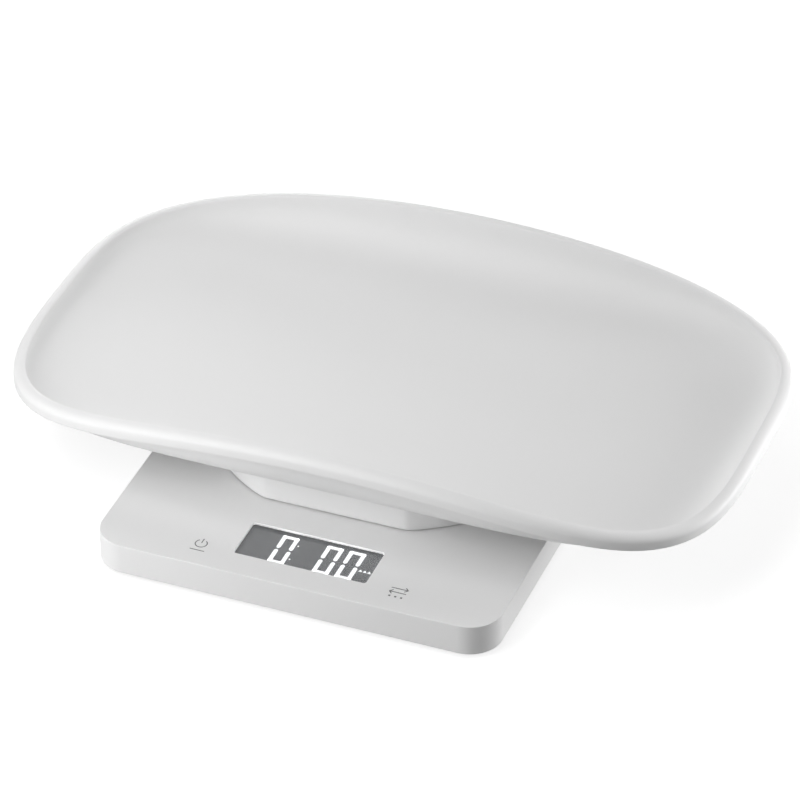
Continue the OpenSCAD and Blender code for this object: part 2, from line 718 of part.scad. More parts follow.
module battery_wires() {
    start_x = box_w / 2 + box_wall;
    for (i = [0, 1]) color(i == 0 ? "firebrick" : "black") {
        x = power_plug_x - 1 + 2 * i;
        wire([[start_x, box_y - 18 + 3 * i, cell_z], [start_x + 8, box_y - 18 + 3 * i, cell_z],
              [x, box_y - 24 + 3 * i, plug_z], [x, plug_y + 2.5, plug_z]], 0.6);
    }
}

module battery_door() color(soft_white) translate([0, box_y, 0]) {
    difference() {
        block(door_w, door_d, base_bottom, base_bottom + door_t);
        for (i = [0:4]) translate([0, -door_d / 2 + 4 + i * 2.2, 0])
            block(18, 1, base_bottom - 1, base_bottom + 0.5);
    }
    for (side = [-1, 1], y = tongue_ys)
        translate([side > 0 ? door_w / 2 - little : -door_w / 2 - tongue_out, y, base_bottom + 0.65])
            cube([tongue_out + little, tongue_l, tongue_t]);
}

// ---------------------------------------------------------------- assembly

top_cover();
bottom_cover();
foot(-1, foot_ys[0]);  // foot_front_left
foot(1, foot_ys[0]);  // foot_front_right
foot(-1, foot_ys[1]);  // foot_back_left
foot(1, foot_ys[1]);  // foot_back_right
housing_screws();
display_window();
lcd_panel();
lcd_backlight();
lcd_frame();
contact_strips();
circuit_board();
board_screws();
controller_chip();
board_components();
wire_plugs();
touch_spring(-1);  // touch_spring_left
touch_spring(1);  // touch_spring_right
base_plate();
base_plate_screws();
fixed_end_spacer();
fixed_end_screws();
load_cell();
strain_gauges();
gauge_sealant();
overload_stop();
load_cell_wires();
load_end_spacer();
load_end_screws();
load_spider();
platform();
platform_screws();
battery(0);  // battery_1
battery(1);  // battery_2
battery(2);  // battery_3
battery(3);  // battery_4
battery_springs();
battery_contacts();
battery_wires();
battery_door();
tray();
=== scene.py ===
# %% [markdown]
# # A digital baby weighing scale
#
# The real object is a shallow plastic tray, moulded in one piece, that rests on a round weighing platform
# over a flat electronic base. This lesson dresses the finished engineering model: every piece keeps its
# true place and size, and Blender adds rounded edges, fine surface texture, print, glass and light.
# The frame comes first, because everything else is placed by it.

# %% Load the frame
import math

import bmesh
import bpy
from mathutils import Matrix, Vector
from mathutils.bvhtree import BVHTree


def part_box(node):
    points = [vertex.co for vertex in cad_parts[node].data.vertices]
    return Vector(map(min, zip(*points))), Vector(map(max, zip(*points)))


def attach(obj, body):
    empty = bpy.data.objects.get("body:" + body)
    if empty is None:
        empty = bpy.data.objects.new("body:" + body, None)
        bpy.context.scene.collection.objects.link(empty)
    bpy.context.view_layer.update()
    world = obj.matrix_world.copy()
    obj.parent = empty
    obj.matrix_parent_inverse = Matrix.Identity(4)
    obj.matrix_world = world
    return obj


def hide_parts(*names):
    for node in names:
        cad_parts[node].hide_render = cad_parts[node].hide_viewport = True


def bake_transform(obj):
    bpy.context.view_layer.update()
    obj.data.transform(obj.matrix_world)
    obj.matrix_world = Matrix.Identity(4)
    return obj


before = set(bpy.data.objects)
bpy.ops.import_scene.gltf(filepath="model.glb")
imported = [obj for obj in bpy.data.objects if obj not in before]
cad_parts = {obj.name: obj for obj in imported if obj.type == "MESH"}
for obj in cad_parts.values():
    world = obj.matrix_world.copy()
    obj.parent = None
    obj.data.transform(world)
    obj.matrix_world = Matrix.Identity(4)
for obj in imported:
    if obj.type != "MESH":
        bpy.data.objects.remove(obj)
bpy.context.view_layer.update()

# %% [markdown]
# ## Sizes
#
# A maker works in millimetres and Blender in metres, so one constant turns the one into the other. Places
# are read from the frame where the frame knows them, which keeps the looks tied to the construction.

# %% Millimetres and the places that the frame gives
MM = 0.001


def span(node):
    """Lowest and highest corner of a node, in millimetres."""
    low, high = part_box(node)
    return low / MM, high / MM


cover_low, cover_high = span("top_cover")
lens_low, lens_high = span("display_window")
platform_low, platform_high = span("platform")
GLASS_TOP = span("lcd_panel")[1].z
BASE_TOP = cover_high.z
BASE_BOTTOM = cover_low.z
FRONT_Y = cover_low.y
base_size = cover_high - cover_low
print(f"base {base_size.x:.0f} x {base_size.y:.0f} mm, top at {BASE_TOP:.1f} mm")

# %% [markdown]
# ## Helpers for meshes
#
# Each new piece starts as a bmesh, is shaped by operators, and is then handed to the same short function,
# which gives it a name, a body to ride on, a finish and smooth shading that breaks at real corners.

# %% Hand a finished mesh over as a piece
CORNER_ANGLE = math.radians(38)


def finish_piece(name, bm, body, material, replaced=(), even_flats=False, bends=None):
    """Makes an object of a bmesh, with its place in its mesh, riding on a body.

    even_flats keeps large flat faces evenly lit beside their rounded edges. A piece given bends keeps its
    place in the world and rides on no body; what bends holds, the second body and where the bend starts and
    ends, is not used."""
    mesh = bpy.data.meshes.new(name)
    bm.to_mesh(mesh)
    bm.free()
    mesh.shade_smooth()
    mesh.set_sharp_from_angle(angle=CORNER_ANGLE)
    mesh.materials.append(material)
    piece = bpy.data.objects.new(name, mesh)
    bpy.context.scene.collection.objects.link(piece)
    if even_flats:
        normals = piece.modifiers.new("even_flats", "WEIGHTED_NORMAL")
        normals.keep_sharp = True
    if bends:
        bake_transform(piece)
    else:
        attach(piece, body)
    if replaced:
        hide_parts(*replaced)
    print(f"{name}: {len(mesh.polygons)} faces")
    return piece


def in_metres(bm):
    """Shrinks a bmesh that was drawn in millimetres."""
    bmesh.ops.scale(bm, vec=(MM, MM, MM), verts=bm.verts)
    return bm


def block(bm, centre, size):
    """Adds a box and returns its vertices."""
    made = bmesh.ops.create_cube(bm, size=1)["verts"]
    bmesh.ops.scale(bm, vec=size, verts=made)
    bmesh.ops.translate(bm, vec=centre, verts=made)
    return made


def edges_of(verts, wanted=lambda edge: True):
    """The edges between these vertices that pass a test."""
    chosen = set(verts)
    found = {edge for vert in verts for edge in vert.link_edges}
    return [e for e in found if e.verts[0] in chosen and e.verts[1] in chosen and wanted(e)]


def soften(bm, edges, width, segments=3):
    """Rounds edges with a bevel."""
    bmesh.ops.bevel(bm, geom=list(edges), offset=width, offset_type="OFFSET", segments=segments,
                    profile=0.5, affect="EDGES", material=-1, clamp_overlap=True)


# %% [markdown]
# Many shapes here are stacks of closed loops: the bowl, its rim, the foot ring, a foot. One loop of points is
# drawn and then extruded again and again, and after each step its points move to where the form wants them.
# The last loop is joined to the first, or both ends are drawn together to a point.

# %% Build a skin from a chain of loops
def loop_chain(count, places, closed_section=False):
    """Extrudes a loop of `count` points through a list of functions from a point's number to its place."""
    bm = bmesh.new()
    station = bm.verts.layers.int.new("station")
    first = bmesh.ops.create_circle(bm, cap_ends=False, radius=1, segments=count)["verts"]
    for number, vert in enumerate(sorted(first, key=lambda v: math.atan2(v.co.y, v.co.x) % math.tau)):
        vert[station] = number
        vert.co = places[0](number)
    first_edges = list(bm.edges)
    edges = first_edges
    for place in places[1:]:
        made = bmesh.ops.extrude_edge_only(bm, edges=edges)["geom"]
        verts = {item for item in made if isinstance(item, bmesh.types.BMVert)}
        for vert in verts:
            vert.co = place(vert[station])
        edges = [item for item in made if isinstance(item, bmesh.types.BMEdge)
                 and item.verts[0] in verts and item.verts[1] in verts]
    if closed_section:
        bmesh.ops.bridge_loops(bm, edges=first_edges + edges)
    else:
        for end in (first_edges, edges):
            made = bmesh.ops.extrude_edge_only(bm, edges=end)["geom"]
            tip = [item for item in made if isinstance(item, bmesh.types.BMVert)]
            middle = sum((vert.co for vert in tip), Vector()) / len(tip)
            bmesh.ops.pointmerge(bm, verts=tip, merge_co=middle)
    bmesh.ops.recalc_face_normals(bm, faces=bm.faces)
    return bm


# %% [markdown]
# Some engineering pieces already have the right shape and only lack what a mould gives them: a small radius
# on each edge. Their triangles are loose, so a copy is joined up, its flat faces are made whole, and the
# edges that show are bevelled.

# %% Copy an engineering piece so that its edges can be rounded
WELD = 0.002 * MM
FLAT = math.radians(0.4)
SHARP = math.radians(30)


def joined_copy(node):
    """A bmesh of a node with its triangles welded and its flat faces made whole."""
    bm = bmesh.new()
    bm.from_mesh(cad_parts[node].data)
    bmesh.ops.remove_doubles(bm, verts=bm.verts, dist=WELD)
    bmesh.ops.dissolve_limit(bm, angle_limit=FLAT, verts=bm.verts, edges=bm.edges)
    return bm


def sharp_edges(bm, wanted):
    """Edges where two faces meet at a real corner and that pass a test on their two ends, in millimetres."""
    return [e for e in bm.edges if len(e.link_faces) == 2 and e.calc_face_angle() > SHARP
            and wanted(e.verts[0].co / MM, e.verts[1].co / MM)]


# %% [markdown]
# ## Shared surface effects
#
# A moulded surface is never perfectly even: the steel mould leaves a fine grain, and the gloss wanders a
# little. Many finishes need this at different scales, so it is built once as a node group with named inputs.
# It puts out a colour, a roughness and a height, and the shader itself stays in each material. The nodes that
# every effect needs come first, as small functions.

# %% Nodes that every shared effect uses
def new_group(name, inputs):
    """A shader node group that puts out a surface, and its two end nodes."""
    group = bpy.data.node_groups.new(name, "ShaderNodeTree")
    for label, kind, value in inputs:
        socket = group.interface.new_socket(name=label, in_out="INPUT", socket_type=kind)
        if value is not None:
            socket.default_value = value
    for label, kind in (("Colour", "Color"), ("Roughness", "Float"), ("Height", "Float")):
        group.interface.new_socket(name=label, in_out="OUTPUT", socket_type="NodeSocket" + kind)
    return group, group.nodes.new("NodeGroupInput"), group.nodes.new("NodeGroupOutput")


def math_node(nodes, links, operation, first, second, third=None):
    """A Math node fed by sockets or plain numbers."""
    node = nodes.new("ShaderNodeMath")
    node.operation = operation
    for index, value in enumerate((first, second, third)):
        if value is None:
            continue
        if hasattr(value, "links"):
            links.new(value, node.inputs[index])
        else:
            node.inputs[index].default_value = value
    return node.outputs[0]


def noise_node(nodes, links, vector, scale, detail):
    """A Noise texture fed by a vector, with a scale that is a socket or a number."""
    node = nodes.new("ShaderNodeTexNoise")
    node.inputs["Detail"].default_value = detail
    links.new(vector, node.inputs["Vector"])
    if hasattr(scale, "links"):
        links.new(scale, node.inputs["Scale"])
    else:
        node.inputs["Scale"].default_value = scale
    return node.outputs["Fac"]


def put_out(group, given, end, tone, mottle, height):
    """Ends a group: the tone shifts its colour, the mottle its roughness, and the height leaves as it is."""
    nodes, links = group.nodes, group.links
    tint = math_node(nodes, links, "MULTIPLY_ADD", tone, given["Tint Spread"], 1.0)
    colour = nodes.new("ShaderNodeVectorMath")
    colour.operation = "SCALE"
    links.new(given["Colour"], colour.inputs[0])
    links.new(tint, colour.inputs["Scale"])
    rough = math_node(nodes, links, "MULTIPLY_ADD", mottle, given["Roughness Spread"], given["Roughness"])
    links.new(colour.outputs[0], end.inputs["Colour"])
    links.new(rough, end.inputs["Roughness"])
    links.new(height, end.inputs["Height"])


# %% A node group for fine grain
def build_grain():
    """Fine grain and slow drift of a moulded or coated surface."""
    group, start, end = new_group(
        "surface_grain",
        [("Vector", "NodeSocketVector", None), ("Colour", "NodeSocketColor", (1, 1, 1, 1)),
         ("Grain Scale", "NodeSocketFloat", 1500.0), ("Drift Scale", "NodeSocketFloat", 12.0),
         ("Tint Spread", "NodeSocketFloat", 0.02), ("Roughness", "NodeSocketFloat", 0.4),
         ("Roughness Spread", "NodeSocketFloat", 0.08)])
    nodes, links = group.nodes, group.links
    given = start.outputs
    fine = noise_node(nodes, links, given["Vector"], given["Grain Scale"], 2.0)
    slow = noise_node(nodes, links, given["Vector"], given["Drift Scale"], 3.0)
    centred = math_node(nodes, links, "SUBTRACT", slow, 0.5)
    mottle = math_node(nodes, links, "SUBTRACT", fine, slow)
    put_out(group, given, end, centred, mottle, fine)
    return group


GRAIN = build_grain()
print("shared effect:", GRAIN.name)

# %% [markdown]
# Metal parts show the tool that made them: a rolled plate or a milled beam has fine lines along one
# direction. The second group stretches a noise along one axis, so that one effect serves plate, beam and screw.

# %% A node group for brushed and milled lines
def build_lines():
    """Fine lines along one axis, with a slow change of tone."""
    group, start, end = new_group(
        "tool_lines",
        [("Vector", "NodeSocketVector", None), ("Stretch", "NodeSocketVector", (1, 40, 40)),
         ("Line Scale", "NodeSocketFloat", 60.0), ("Colour", "NodeSocketColor", (1, 1, 1, 1)),
         ("Tint Spread", "NodeSocketFloat", 0.15), ("Roughness", "NodeSocketFloat", 0.35),
         ("Roughness Spread", "NodeSocketFloat", 0.2)])
    nodes, links = group.nodes, group.links
    given = start.outputs
    stretched = nodes.new("ShaderNodeVectorMath")
    stretched.operation = "MULTIPLY"
    links.new(given["Vector"], stretched.inputs[0])
    links.new(given["Stretch"], stretched.inputs[1])
    line = noise_node(nodes, links, stretched.outputs[0], given["Line Scale"], 4.0)
    centred = math_node(nodes, links, "SUBTRACT", line, 0.5)
    put_out(group, given, end, centred, centred, line)
    return group


LINES = build_lines()
print("shared effect:", LINES.name)

# %% [markdown]
# ## Materials
#
# A small function makes each material: it places a shared effect, feeds the Principled shader, and sets what
# is the same all over directly on the shader. Colours are the light that the real surface sends back.

# %% Make a material from a shared effect
def coated_material(name, colour, group=GRAIN, bump=0.0, distance=0.02, shader=None, **effect):
    """A material with one shared effect on Object coordinates. shader holds plain Principled values."""
    material = bpy.data.materials.new(name)
    material.use_nodes = True
    nodes, links = material.node_tree.nodes, material.node_tree.links
    principled = nodes["Principled BSDF"]
    place = nodes.new("ShaderNodeTexCoord")
    surface = nodes.new("ShaderNodeGroup")
    surface.node_tree = group
    links.new(place.outputs["Object"], surface.inputs["Vector"])
    surface.inputs["Colour"].default_value = (*colour, 1)
    for label, value in effect.items():
        surface.inputs[label.replace("_", " ").title()].default_value = value
    links.new(surface.outputs["Colour"], principled.inputs["Base Color"])
    links.new(surface.outputs["Roughness"], principled.inputs["Roughness"])
    if bump:
        bumped = nodes.new("ShaderNodeBump")
        bumped.inputs["Strength"].default_value = bump
        bumped.inputs["Distance"].default_value = distance * MM
        links.new(surface.outputs["Height"], bumped.inputs["Height"])
        links.new(bumped.outputs["Normal"], principled.inputs["Normal"])
    for label, value in (shader or {}).items():
        principled.inputs[label].default_value = value
    return material


print("material maker ready")

# %% [markdown]
# The tray and the covers are white mouldings with a satin face, which mirrors less than polished plastic does,
# so their specular level is low. The walls round the display opening are made a brighter white and glow
# faintly: a painted glow that stands in for light on them. The lower cover is greyer and rougher, and the feet
# are dull black rubber.

# %% Plastics and rubber
TRAY_WHITE = (0.84, 0.84, 0.84)
SHELL_WHITE = (0.83, 0.83, 0.83)
SATIN = {"Specular IOR Level": 0.3}
# A painted glow: a faint emission and a brighter white for the walls of the display opening, standing in for
# light.
PAINTED_GLOW = {"Emission Color": (1, 1, 1, 1), "Emission Strength": 0.35}
tray_plastic = coated_material("tray_plastic", TRAY_WHITE, bump=0.12, grain_scale=2200.0, drift_scale=9.0,
                               tint_spread=0.015, roughness=0.42, roughness_spread=0.06, shader=SATIN)
window_wall_painted_glow = coated_material("window_wall_painted_glow", (0.96, 0.96, 0.96), grain_scale=900.0, roughness=0.25,
                              shader=PAINTED_GLOW)
cover_plastic = coated_material("cover_plastic", SHELL_WHITE, bump=0.12, grain_scale=2600.0, drift_scale=14.0,
                                tint_spread=0.015, roughness=0.36, roughness_spread=0.06, shader=SATIN)
underside_plastic = coated_material("underside_plastic", (0.66, 0.66, 0.66), bump=0.5, distance=0.05,
                                    grain_scale=1400.0, tint_spread=0.04, roughness=0.6)
foot_rubber = coated_material("foot_rubber", (0.03, 0.03, 0.032), bump=0.5, distance=0.06, grain_scale=900.0,
                              tint_spread=0.5, roughness=0.75, roughness_spread=0.15)
print("plastics and rubber made")

# %% [markdown]
# Three metals do the work inside: zinc-plated steel for plates and screws, milled aluminium for the beam, and
# nickel-plated wire for springs. They differ in tone and in how far their tool lines are drawn out.

# %% Metals
METAL = {"Metallic": 1.0}
zinc_plate = coated_material("zinc_plate", (0.56, 0.57, 0.58), LINES, bump=0.15, stretch=(1, 14, 14),
                             line_scale=90.0, tint_spread=0.25, roughness=0.38, shader=METAL)
milled_aluminium = coated_material("milled_aluminium", (0.74, 0.75, 0.77), LINES, bump=0.25,
                                   stretch=(1, 40, 40), line_scale=70.0, roughness=0.3, shader=METAL)
nickel_wire = coated_material("nickel_wire", (0.62, 0.61, 0.58), LINES, bump=0.1, stretch=(1, 1, 1),
                              line_scale=400.0, roughness=0.25, shader=METAL)
print("metals made")

# %% [markdown]
# The display is a grey liquid crystal glass with lit segments. Its gloss comes from a clear coat over the
# grey, and the segments send out their own pale light. The clear window over it is thin, so it is made with
# a low alpha: light passes and the grey stays readable.

# %% Display materials
lcd_grey = coated_material("lcd_grey", (0.055, 0.057, 0.06), grain_scale=300.0, drift_scale=25.0,
                           tint_spread=0.25, roughness=0.35, roughness_spread=0.05,
                           shader={"Coat Weight": 0.6, "Coat Roughness": 0.06})
segment_light = coated_material("segment_light", (0.9, 0.9, 0.9), grain_scale=400.0, tint_spread=0.04,
                                roughness=0.5,
                                shader={"Emission Color": (0.96, 0.98, 1, 1), "Emission Strength": 0.55})
clear_window = coated_material("clear_window", (0.9, 0.92, 0.94), grain_scale=200.0, tint_spread=0.02,
                               roughness=0.06, roughness_spread=0.02, shader={"Alpha": 0.10})
milky_plastic = coated_material("milky_plastic", (0.85, 0.87, 0.9), bump=0.1, grain_scale=800.0,
                                roughness=0.3, shader={"Subsurface Weight": 0.1})
key_ink = coated_material("key_ink", (0.14, 0.14, 0.145), bump=0.3, grain_scale=1800.0, tint_spread=0.3,
                          roughness=0.5)
print("display materials made")

# %% [markdown]
# The electrical parts are each known by one colour: green mask on the board, black potting, creamy nylon
# plugs, red wires, amber gauges and pale sealant. None of them is seen unless the scale is opened.

# %% Electrical materials
board_mask = coated_material("board_mask", (0.02, 0.15, 0.06), LINES, bump=0.6, distance=0.05,
                             stretch=(3, 1, 1), line_scale=260.0, tint_spread=0.9, roughness=0.3)
potting = coated_material("potting", (0.012, 0.012, 0.014), bump=0.2, grain_scale=500.0, roughness=0.18)
component_case = coated_material("component_case", (0.3, 0.2, 0.12), bump=0.3, grain_scale=700.0,
                                 drift_scale=160.0, tint_spread=1.6, roughness=0.45)
plug_nylon = coated_material("plug_nylon", (0.8, 0.77, 0.68), bump=0.2, grain_scale=1500.0, roughness=0.4)
strip_rubber = coated_material("strip_rubber", (0.42, 0.2, 0.24), LINES, bump=0.4, stretch=(40, 1, 1),
                               line_scale=180.0, tint_spread=1.2, roughness=0.6)
gauge_film = coated_material("gauge_film", (0.55, 0.3, 0.08), LINES, bump=0.2, stretch=(1, 60, 1),
                             line_scale=300.0, tint_spread=0.8, roughness=0.25)
silicone = coated_material("silicone", (0.76, 0.76, 0.73), bump=0.8, distance=0.15, grain_scale=260.0,
                           roughness=0.35, shader={"Subsurface Weight": 0.15})
wire_sheath = coated_material("wire_sheath", (0.35, 0.03, 0.03), bump=0.1, grain_scale=900.0,
                              tint_spread=0.2, roughness=0.35)
print("electrical materials made")

# %% [markdown]
# ## The tray
#
# The tray is one moulding. Seen from above its rim is a rounded oblong, and seen from the side it is a saddle:
# the long sides rise in the middle and the corners dip. A formula gives that line, the same one as in the
# engineering model, and loops of points follow it: down the bowl's wall to its floor, over the rim, down the
# turned lip, and back under the bowl. A formula is better here than pulling points by hand, because each
# loop then flows evenly into the next and the highlights on the rim stay clean.

# %% The tray's driving sizes, in millimetres
TRAY_A = 194.5
TRAY_B = 112.2
TRAY_BULGE = 0.05
TRAY_FROM_FRONT = 162.4
CREST_Z = 60.0
CREST_SADDLE = 10.6
CREST_DIP = 16.7
CREST_RISE = 3.4
FLOOR_Z = 28.6
LIP_W = 5.8
LIP_H = 8.6
LIP_SHOULDER = 4.1
LIP_T = 2.0
CREST_R = 1.2
WALL = 2.2
END_POWER = 4.97
SIDE_POWER = 3.68
WALL_POWER = 3.0
CORNER_SOFTNESS = 0.7
TRAY_Y = FRONT_Y + TRAY_FROM_FRONT
RIM_POINTS = 240
print(f"tray {2 * (TRAY_A + LIP_W):.0f} mm wide over its lips")

# %% [markdown]
# The outline has one power along its ends and another along its sides, so no plain formula says how far it
# reaches in a given direction. The reach is found by correcting a first guess again and again, until it stays
# the same.

# %% The crest line as a formula
SETTLE_STEPS = 24
SETTLE_POWER = -0.2
NUDGE = math.radians(0.4)


def unit_outline(angle):
    """Point of the rounded outline of half-width 1 in one direction."""
    along, across = math.cos(angle), math.sin(angle)
    reach = 1.0
    for _ in range(SETTLE_STEPS):
        size = (reach * abs(along)) ** END_POWER + (reach * abs(across)) ** SIDE_POWER
        reach *= size ** SETTLE_POWER
    return reach * along, reach * across


def crest_plan(q):
    """Place of the crest in plan, with sides that bulge a little in their middles."""
    return Vector((TRAY_A * q[0], TRAY_B * q[1] * (1 + TRAY_BULGE * (1 - q[0] ** 2))))


def crest_height(q):
    """Height of the crest: up at the middles of the sides, down at the corners."""
    u, w = q[0] ** 2, q[1] ** 2
    return CREST_Z + CREST_SADDLE * (w - u) - CREST_DIP * u * w + CREST_RISE * u * u


def rim_station(number):
    """Plan position, outward direction, crest height and the wall's squareness at one point of the rim."""
    angle = math.tau * number / RIM_POINTS
    q = unit_outline(angle)
    run = crest_plan(unit_outline(angle + NUDGE)) - crest_plan(unit_outline(angle - NUDGE))
    outward = Vector((run.y, -run.x)).normalized()
    power = WALL_POWER - CORNER_SOFTNESS * q[0] ** 2 * q[1] ** 2
    return crest_plan(q), outward, crest_height(q), power


RIM = [rim_station(number) for number in range(RIM_POINTS)]
heights = [station[2] for station in RIM]
print(f"crest from {min(heights):.1f} to {max(heights):.1f} mm above the table")

# %% [markdown]
# Two kinds of loop are enough for the whole moulding. A rim loop keeps a fixed distance from the crest line. A
# wall loop is a shrunken copy of it, let down towards the floor of the bowl. Loops lie close together where
# the wall turns, and far apart where the bowl is flat.

# %% Loops over the rim and down the wall
def rim_loop(offset, drop):
    """A loop outside the crest line by offset and below it by drop."""
    def place(number):
        plan, outward, crest, _ = RIM[number]
        spot = plan + offset * outward
        return Vector((spot.x, spot.y + TRAY_Y, crest - drop)) * MM
    return place


def wall_loop(share, offset, drop, lowest):
    """A loop on the bowl's wall at a share of the way from the middle out to the rim."""
    def place(number):
        plan, outward, crest, power = RIM[number]
        spot = (plan + offset * outward) * share
        depth = max(0.0, 1 - share ** power) ** (1 / power)
        top = crest - drop
        return Vector((spot.x, spot.y + TRAY_Y, top - (top - lowest) * depth)) * MM
    return place


def quarter_turn(steps):
    """Angles up to a right angle in equal steps, without the first."""
    return [math.pi / 2 * step / steps for step in range(1, steps + 1)]


FIRST_SHARE = 0.06
FLAT_REACH = 0.74
FLAT_STEPS = 14
WALL_STEPS = 20
EDGE_R = 0.8
EDGE_STEPS = 5
SHOULDER_STEPS = 9
FLAT_SHARES = [FIRST_SHARE + FLAT_REACH * step / FLAT_STEPS for step in range(FLAT_STEPS + 1)]
steep = math.asin(FLAT_SHARES[-1] ** (WALL_POWER / 2))
wall_angles = [steep + (math.pi / 2 - steep) * step / WALL_STEPS for step in range(1, WALL_STEPS + 1)]
SHARES = FLAT_SHARES + [math.sin(angle) ** (2 / WALL_POWER) for angle in wall_angles]
EDGE_TURN = quarter_turn(EDGE_STEPS)


def tray_loops():
    """All loops of the moulding, from the middle of the bowl over the rim to the middle underneath."""
    channel_out = LIP_W - LIP_T
    inside = [wall_loop(share, -CREST_R, CREST_R, FLOOR_Z) for share in SHARES]
    crest = [rim_loop(-CREST_R * math.cos(a), CREST_R * (1 - math.sin(a))) for a in EDGE_TURN]
    shoulder = [rim_loop(LIP_W * math.sin(a), LIP_SHOULDER * (1 - math.cos(a)))
                for a in quarter_turn(SHOULDER_STEPS)]
    foot = [rim_loop(LIP_W - EDGE_R * (1 - math.cos(a)), LIP_H - EDGE_R * (1 - math.sin(a)))
            for a in [0.0] + EDGE_TURN]
    channel = [rim_loop(channel_out + EDGE_R / 2, LIP_H), rim_loop(channel_out, LIP_H - EDGE_R / 2),
               rim_loop(channel_out, LIP_SHOULDER + EDGE_R / 2),
               rim_loop(channel_out - EDGE_R / 2, LIP_SHOULDER)]
    outside = [wall_loop(share, CREST_R, LIP_SHOULDER, FLOOR_Z - WALL) for share in reversed(SHARES)]
    return inside + crest + shoulder + foot + channel + outside


tray_skin = loop_chain(RIM_POINTS, tray_loops())
bowl_tree = BVHTree.FromBMesh(tray_skin)
finish_piece("tray_bowl", tray_skin, "tray", tray_plastic, ["tray"])

# %% [markdown]
# Under the bowl a ring stands on the platform's edge. It is part of the same moulding. In plan it is a circle
# with its front cut flat, and the two creases are a little soft. Its top has to meet the curved underside of
# the bowl, so a ray goes straight up from each point until it hits the bowl.

# %% The foot ring under the bowl
RING_R = 99.0
RING_FROM_FRONT = 155.0
FLAT_FROM_FRONT = 64.2
RING_POINTS = 360
CREASE_SOFTNESS = 380
RING_CENTRE_Y = FRONT_Y + RING_FROM_FRONT
RING_BOTTOM = platform_low.z
RING_SINK = 0.9
RING_EDGE_R = 0.4
RING_HEM = 3.0
CORNER_CUT = 0.3
UP = Vector((0, 0, 1))


def bowl_above(x, y):
    """Height at which a ray straight up from the ring's foot meets the bowl, in millimetres."""
    return bowl_tree.ray_cast(Vector((x, y, RING_BOTTOM)) * MM, UP)[0].z / MM


def ring_reach(angle, radius, flat):
    """Distance from the ring's centre to its wall in one direction, with soft creases."""
    towards_front = -math.sin(angle)
    if towards_front <= 0:
        return radius
    return radius * (1 + (radius * towards_front / flat) ** CREASE_SOFTNESS) ** (-1 / CREASE_SOFTNESS)


def ring_spot(number, inset):
    """Point of the ring's wall in plan, inset from its outer face."""
    angle = math.tau * number / RING_POINTS
    reach = ring_reach(angle, RING_R - inset, RING_FROM_FRONT - FLAT_FROM_FRONT - inset)
    return Vector((reach * math.cos(angle), RING_CENTRE_Y + reach * math.sin(angle), 0))


def ring_loop(inset, height):
    """A loop of the ring's wall. With no height it rises until it is inside the bowl's own wall."""
    def place(number):
        spot = ring_spot(number, inset)
        spot.z = bowl_above(spot.x, spot.y) + RING_SINK if height is None else RING_BOTTOM + height
        return spot * MM
    return place


RING_SECTION = [
    # inset from the outer face, height above the ring's foot
    (0, None), (0, RING_HEM), (0, RING_EDGE_R), (CORNER_CUT * RING_EDGE_R, CORNER_CUT * RING_EDGE_R),
    (RING_EDGE_R, 0), (WALL - RING_EDGE_R, 0), (WALL, RING_EDGE_R), (WALL, None),
]
ring_loops = [ring_loop(inset, height) for inset, height in RING_SECTION]
finish_piece("tray_foot_ring", loop_chain(RING_POINTS, ring_loops, closed_section=True), "tray",
             tray_plastic, ["tray"])

# %% [markdown]
# Short ribs stand inside the ring and sit on the platform. They are boxes turned round the centre, whose upper
# corners are raised into the bowl's wall. A plane cuts off what would stand out through the ring's flat front.

# %% Ribs under the bowl
RIB_L = 16.0
RIB_T = 1.6
RIB_OVERLAP = 1.0
RIB_START_H = 2.0
RIB_STEP = 40
RIB_START = platform_high.z + RIB_START_H / 2


def rib_block(bm, angle):
    """One rib along a radius, from the platform's top up into the bowl's wall."""
    middle = RING_R - WALL - RIB_L / 2
    made = block(bm, (middle, 0, RIB_START), (RIB_L + RIB_OVERLAP, RIB_T, RIB_START_H))
    turn = Matrix.Rotation(angle, 4, "Z")
    bmesh.ops.transform(bm, matrix=Matrix.Translation((0, RING_CENTRE_Y, 0)) @ turn, verts=made)
    for vert in made:
        if vert.co.z > RIB_START:
            vert.co.z = bowl_above(vert.co.x, vert.co.y) + RING_SINK


ribs = bmesh.new()
for degrees in range(RIB_STEP // 2, 360, RIB_STEP):
    rib_block(ribs, math.radians(degrees - 90))
inside_flat = (0, FRONT_Y + FLAT_FROM_FRONT + WALL / 2, 0)
everything = ribs.verts[:] + ribs.edges[:] + ribs.faces[:]
cut = bmesh.ops.bisect_plane(ribs, geom=everything, plane_co=inside_flat, plane_no=(0, -1, 0),
                             clear_outer=True)
open_edges = [item for item in cut["geom_cut"] if isinstance(item, bmesh.types.BMEdge)]
bmesh.ops.holes_fill(ribs, edges=open_edges)
finish_piece("tray_ribs", in_metres(ribs), "tray", tray_plastic, ["tray"])

# %% [markdown]
# ## The base
#
# The base's upper shell is a flat box with round corners. Its engineering form is right, down to the bosses
# inside, so it is copied, and only its outer edges and the edges of the display opening are rounded. The top
# edge is crisp on the real one, under a millimetre.

# %% The upper shell with rounded edges
TOP_EDGE_R = 0.3
LOWER_EDGE_R = 0.4
OPENING_EDGE_R = 0.2
CORNER_SPAN = 20.0
HAIR = 0.05


def on_outer_wall(p):
    """True for a point on one of the base's straight walls, or in one of its round corners."""
    near_wall = (min(p.x - cover_low.x, cover_high.x - p.x) < HAIR
                 or min(p.y - cover_low.y, cover_high.y - p.y) < HAIR)
    in_corner = (abs(p.x) > cover_high.x - CORNER_SPAN
                 and (p.y < cover_low.y + CORNER_SPAN or p.y > cover_high.y - CORNER_SPAN))
    return near_wall or in_corner


def at_height(a, b, height):
    """True for an edge that lies level at a height."""
    return abs(a.z - height) < HAIR and abs(b.z - height) < HAIR


